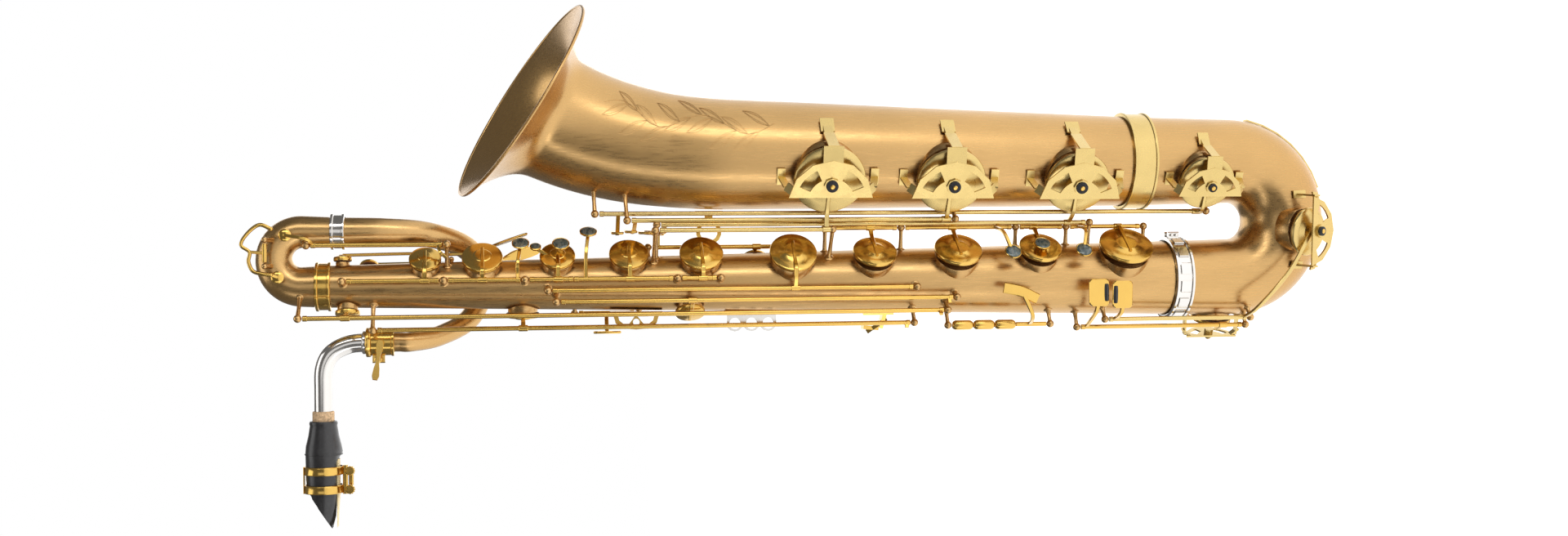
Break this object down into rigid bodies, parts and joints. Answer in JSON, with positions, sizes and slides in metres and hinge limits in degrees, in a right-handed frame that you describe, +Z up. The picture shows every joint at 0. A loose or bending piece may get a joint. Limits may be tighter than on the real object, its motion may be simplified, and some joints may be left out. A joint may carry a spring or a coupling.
{
  "type": "baritone saxophone",
  "caption": "Low-A baritone saxophone with looped upper bow, flared bell, rod-mounted keys with pad cups, key guards, crook neck and hard-rubber mouthpiece.",
  "frame": {"origin": "centre of the middle strap ring", "axes": "+Z up along the body tube towards the upper bow, +X from the body tube towards the bell, +Y towards the player's left"},
  "size_m": [0.5145, 0.2146, 1.1073],
  "materials": {
    "rose_lacquer": "satin",
    "gold_lacquer": "polished",
    "pale_brass": "satin",
    "silver_plate": "polished",
    "black_hard_rubber": "satin",
    "cork": "matte",
    "cane": "matte",
    "dark_pearl": "polished",
    "pad_leather": "matte",
    "felt": "matte",
    "red_felt": "matte"
  },
  "bodies": {
    "root": {"body_tube": "rose_lacquer", "bow": "rose_lacquer", "bell": "rose_lacquer", "bell_bow_band": "gold_lacquer", "body_bow_clamp": "silver_plate", "upper_bow": "rose_lacquer", "top_ferrule": "rose_lacquer", "return_pipe": "rose_lacquer", "pipe_ring": "silver_plate", "neck_receiver": "gold_lacquer", "strap_plate": "silver_plate", "bell_brace": "gold_lacquer", "thumb_rest": "gold_lacquer", "thumb_hook": "gold_lacquer", "bow_strip": "pale_brass", "guard_low_a": "pale_brass", "guard_low_b_flat": "pale_brass", "guard_low_b": "pale_brass", "guard_low_c_sharp": "pale_brass", "guard_low_c": "pale_brass", "guard_low_e_flat": "pale_brass"},
    "neck_body": {"neck": "silver_plate", "neck_cork": "cork"},
    "mouthpiece_body": {"mouthpiece": "black_hard_rubber", "reed": "cane", "ligature": "gold_lacquer", "ligature_screws": "gold_lacquer"},
    "neck_screw_body": {"neck_screw": "gold_lacquer"},
    "key_high_body": {"key_high": "gold_lacquer"},
    "key_c_body": {"key_c": "gold_lacquer"},
    "key_b_body": {"key_b": "gold_lacquer"},
    "key_bis_body": {"key_bis": "gold_lacquer"},
    "key_a_body": {"key_a": "gold_lacquer"},
    "key_g_body": {"key_g": "gold_lacquer"},
    "key_f_sharp_body": {"key_f_sharp": "gold_lacquer"},
    "key_f_body": {"key_f": "gold_lacquer"},
    "key_e_body": {"key_e": "gold_lacquer"},
    "key_d_body": {"key_d": "gold_lacquer"},
    "key_low_a_body": {"key_low_a": "pale_brass"},
    "key_low_b_flat_body": {"key_low_b_flat": "pale_brass"},
    "key_low_b_body": {"key_low_b": "pale_brass"},
    "key_low_c_sharp_body": {"key_low_c_sharp": "pale_brass"},
    "key_low_c_body": {"key_low_c": "pale_brass"},
    "key_low_e_flat_body": {"key_low_e_flat": "gold_lacquer"},
    "key_g_sharp_body": {"key_g_sharp": "gold_lacquer"},
    "key_side_c_body": {"key_side_c": "gold_lacquer"},
    "key_side_b_flat_body": {"key_side_b_flat": "gold_lacquer"},
    "key_high_e_body": {"key_high_e": "gold_lacquer"},
    "side_touch_1_body": {"side_touch_1": "gold_lacquer"},
    "side_touch_2_body": {"side_touch_2": "gold_lacquer"},
    "side_touch_3_body": {"side_touch_3": "gold_lacquer"},
    "side_paddle_body": {"side_paddle": "gold_lacquer"},
    "low_a_thumb_lever_body": {"low_a_thumb_lever": "gold_lacquer"},
    "palm_key_one_body": {"palm_key_one": "gold_lacquer"},
    "palm_key_two_body": {"palm_key_two": "gold_lacquer"},
    "palm_key_three_body": {"palm_key_three": "gold_lacquer"},
    "octave_key_body": {"octave_key": "gold_lacquer"},
    "octave_lyre_body": {"octave_lyre": "gold_lacquer"}
  },
  "joints": [
    {"name": "neck_swivel", "type": "hinge", "parent": "root", "child": "neck_body", "pos_m": [-0.01327, 0, 0.377], "axis": [0, 0, 1], "range_deg": [-15, 15]},
    {"name": "mouthpiece_slide", "type": "slide", "parent": "neck_body", "child": "mouthpiece_body", "axis": [1, 0, 0], "range_m": [-0.008, 0.006]},
    {"name": "neck_screw_turn", "type": "hinge", "parent": "root", "child": "neck_screw_body", "pos_m": [-0.02968, 0, 0.369], "axis": [0, 1, 0], "range_deg": [-180, 180]},
    {"name": "key_high_hinge", "type": "hinge", "parent": "root", "child": "key_high_body", "pos_m": [0.04673, -0.037, 0.35217], "axis": [0, 0, 1], "range_deg": [0, 8], "stiffness_Nm_per_rad": 0.3, "springref_deg": -17.19},
    {"name": "key_c_hinge", "type": "hinge", "parent": "root", "child": "key_c_body", "pos_m": [0.04673, -0.037, 0.26155], "axis": [0, 0, 1], "range_deg": [0, 8], "stiffness_Nm_per_rad": 0.3, "springref_deg": -17.19},
    {"name": "key_b_hinge", "type": "hinge", "parent": "root", "child": "key_b_body", "pos_m": [0.04673, -0.037, 0.20018], "axis": [0, 0, 1], "range_deg": [0, 8], "stiffness_Nm_per_rad": 0.3, "springref_deg": -17.19},
    {"name": "key_bis_hinge", "type": "hinge", "parent": "root", "child": "key_bis_body", "pos_m": [0.04673, -0.037, 0.13105], "axis": [0, 0, 1], "range_deg": [0, 8], "stiffness_Nm_per_rad": 0.3, "springref_deg": -17.19},
    {"name": "key_a_hinge", "type": "hinge", "parent": "root", "child": "key_a_body", "pos_m": [0.04673, -0.037, 0.053], "axis": [0, 0, 1], "range_deg": [0, 8], "stiffness_Nm_per_rad": 0.3, "springref_deg": -17.19},
    {"name": "key_g_hinge", "type": "hinge", "parent": "root", "child": "key_g_body", "pos_m": [0.03573, -0.041, 0.021], "axis": [0, 0, 1], "range_deg": [0, 8], "stiffness_Nm_per_rad": 0.3, "springref_deg": -17.19},
    {"name": "key_f_sharp_hinge", "type": "hinge", "parent": "root", "child": "key_f_sharp_body", "pos_m": [0.09573, -0.009, -0.1145], "axis": [0, 0, 1], "range_deg": [-8, 0], "stiffness_Nm_per_rad": 0.3, "springref_deg": 17.19},
    {"name": "key_f_hinge", "type": "hinge", "parent": "root", "child": "key_f_body", "pos_m": [0.09573, -0.009, -0.2145], "axis": [0, 0, 1], "range_deg": [-8, 0], "stiffness_Nm_per_rad": 0.3, "springref_deg": 17.19},
    {"name": "key_e_hinge", "type": "hinge", "parent": "root", "child": "key_e_body", "pos_m": [0.09573, -0.009, -0.29852], "axis": [0, 0, 1], "range_deg": [-8, 0], "stiffness_Nm_per_rad": 0.3, "springref_deg": 17.19},
    {"name": "key_d_hinge", "type": "hinge", "parent": "root", "child": "key_d_body", "pos_m": [0.09573, -0.009, -0.36949], "axis": [0, 0, 1], "range_deg": [-8, 0], "stiffness_Nm_per_rad": 0.3, "springref_deg": 17.19},
    {"name": "key_low_a_hinge", "type": "hinge", "parent": "root", "child": "key_low_a_body", "pos_m": [0.09373, -0.041, -0.00538], "axis": [0, 0, 1], "range_deg": [0, 6], "stiffness_Nm_per_rad": 0.3, "springref_deg": -17.19},
    {"name": "key_low_b_flat_hinge", "type": "hinge", "parent": "root", "child": "key_low_b_flat_body", "pos_m": [0.10373, -0.033, -0.05083], "axis": [0, 0, 1], "range_deg": [0, 6], "stiffness_Nm_per_rad": 0.3, "springref_deg": -17.19},
    {"name": "key_low_b_hinge", "type": "hinge", "parent": "root", "child": "key_low_b_body", "pos_m": [0.09973, -0.022, -0.1226], "axis": [0, 0, 1], "range_deg": [0, 6], "stiffness_Nm_per_rad": 0.3, "springref_deg": -17.19},
    {"name": "key_low_c_sharp_hinge", "type": "hinge", "parent": "root", "child": "key_low_c_sharp_body", "pos_m": [0.11073, -0.021, -0.17043], "axis": [0, 0, 1], "range_deg": [0, 6], "stiffness_Nm_per_rad": 0.3, "springref_deg": -17.19},
    {"name": "key_low_c_hinge", "type": "hinge", "parent": "root", "child": "key_low_c_body", "pos_m": [-0.00027, -0.03, -0.47876], "axis": [0, 0, 1], "range_deg": [0, 4.5], "stiffness_Nm_per_rad": 0.3, "springref_deg": -17.19},
    {"name": "key_low_e_flat_hinge", "type": "hinge", "parent": "root", "child": "key_low_e_flat_body", "pos_m": [-0.00827, -0.017, -0.4271], "axis": [0, 0, 1], "range_deg": [0, 6], "stiffness_Nm_per_rad": 0.3, "springref_deg": -17.19},
    {"name": "key_g_sharp_hinge", "type": "hinge", "parent": "root", "child": "key_g_sharp_body", "pos_m": [0.07773, 0.014, 0.03515], "axis": [0, 0, 1], "range_deg": [-8, 0], "stiffness_Nm_per_rad": 0.3, "springref_deg": 17.19},
    {"name": "key_side_c_hinge", "type": "hinge", "parent": "root", "child": "key_side_c_body", "pos_m": [0.02473, -0.041, -0.0035], "axis": [0, 0, 1], "range_deg": [0, 8], "stiffness_Nm_per_rad": 0.3, "springref_deg": -17.19},
    {"name": "key_side_b_flat_hinge", "type": "hinge", "parent": "root", "child": "key_side_b_flat_body", "pos_m": [-0.00077, -0.0265, 0.105], "axis": [0, 0, 1], "range_deg": [0, 8], "stiffness_Nm_per_rad": 0.3, "springref_deg": -17.19},
    {"name": "key_high_e_hinge", "type": "hinge", "parent": "root", "child": "key_high_e_body", "pos_m": [0.01173, -0.0385, 0.1235], "axis": [0, 0, 1], "range_deg": [0, 8], "stiffness_Nm_per_rad": 0.3, "springref_deg": -17.19},
    {"name": "side_touch_1_hinge", "type": "hinge", "parent": "root", "child": "side_touch_1_body", "pos_m": [-0.00427, -0.022, -0.2143], "axis": [0, 0, 1], "range_deg": [-8, 0], "stiffness_Nm_per_rad": 0.3, "springref_deg": 17.19},
    {"name": "side_touch_2_hinge", "type": "hinge", "parent": "root", "child": "side_touch_2_body", "pos_m": [-0.00427, -0.022, -0.2367], "axis": [0, 0, 1], "range_deg": [-8, 0], "stiffness_Nm_per_rad": 0.3, "springref_deg": 17.19},
    {"name": "side_touch_3_hinge", "type": "hinge", "parent": "root", "child": "side_touch_3_body", "pos_m": [-0.00427, -0.022, -0.2591], "axis": [0, 0, 1], "range_deg": [-8, 0], "stiffness_Nm_per_rad": 0.3, "springref_deg": 17.19},
    {"name": "side_paddle_hinge", "type": "hinge", "parent": "root", "child": "side_paddle_body", "pos_m": [-0.00427, -0.022, -0.27575], "axis": [0, 0, 1], "range_deg": [0, 8], "stiffness_Nm_per_rad": 0.3, "springref_deg": -17.19},
    {"name": "low_a_thumb_lever_hinge", "type": "hinge", "parent": "root", "child": "low_a_thumb_lever_body", "pos_m": [0.01173, 0.026, 0.1445], "axis": [0, 0, 1], "range_deg": [0, 6], "stiffness_Nm_per_rad": 0.3, "springref_deg": -17.19},
    {"name": "palm_key_one_hinge", "type": "hinge", "parent": "root", "child": "palm_key_one_body", "pos_m": [0.07177, 0.00316, 0.311], "axis": [0.1045, -0.9945, 0], "range_deg": [-2.5, 0], "stiffness_Nm_per_rad": 0.3, "springref_deg": 17.19},
    {"name": "palm_key_two_hinge", "type": "hinge", "parent": "root", "child": "palm_key_two_body", "pos_m": [0.06211, 0.02263, 0.299], "axis": [0.7431, -0.6691, 0], "range_deg": [-4, 0], "stiffness_Nm_per_rad": 0.3, "springref_deg": 17.19},
    {"name": "palm_key_three_hinge", "type": "hinge", "parent": "root", "child": "palm_key_three_body", "pos_m": [0.0428, 0.03082, 0.281], "axis": [0.9994, -0.0349, 0], "range_deg": [-4, 0], "stiffness_Nm_per_rad": 0.3, "springref_deg": 17.19},
    {"name": "octave_key_hinge", "type": "hinge", "parent": "root", "child": "octave_key_body", "pos_m": [0.08173, -0.026, 0.38093], "axis": [0, 0, 1], "range_deg": [-10, 0], "stiffness_Nm_per_rad": 0.1, "springref_deg": 17.19},
    {"name": "octave_lyre_hinge", "type": "hinge", "parent": "root", "child": "octave_lyre_body", "pos_m": [0.07473, -0.03, 0.473], "axis": [1, 0, 0], "range_deg": [-10, 0], "stiffness_Nm_per_rad": 0.1, "springref_deg": 17.19}
  ],
  "couplings": [
    {"joint": "key_high_hinge", "follows": "key_c_hinge", "ratio": 1},
    {"joint": "key_a_hinge", "follows": "key_b_hinge", "ratio": 1},
    {"joint": "key_g_hinge", "follows": "key_bis_hinge", "ratio": 1},
    {"joint": "key_f_sharp_hinge", "follows": "key_f_hinge", "ratio": 1},
    {"joint": "low_a_thumb_lever_hinge", "follows": "key_low_a_hinge", "ratio": 1},
    {"joint": "side_touch_1_hinge", "follows": "key_side_c_hinge", "ratio": -1},
    {"joint": "side_touch_2_hinge", "follows": "key_side_b_flat_hinge", "ratio": -1},
    {"joint": "side_touch_3_hinge", "follows": "key_high_e_hinge", "ratio": -1}
  ]
}
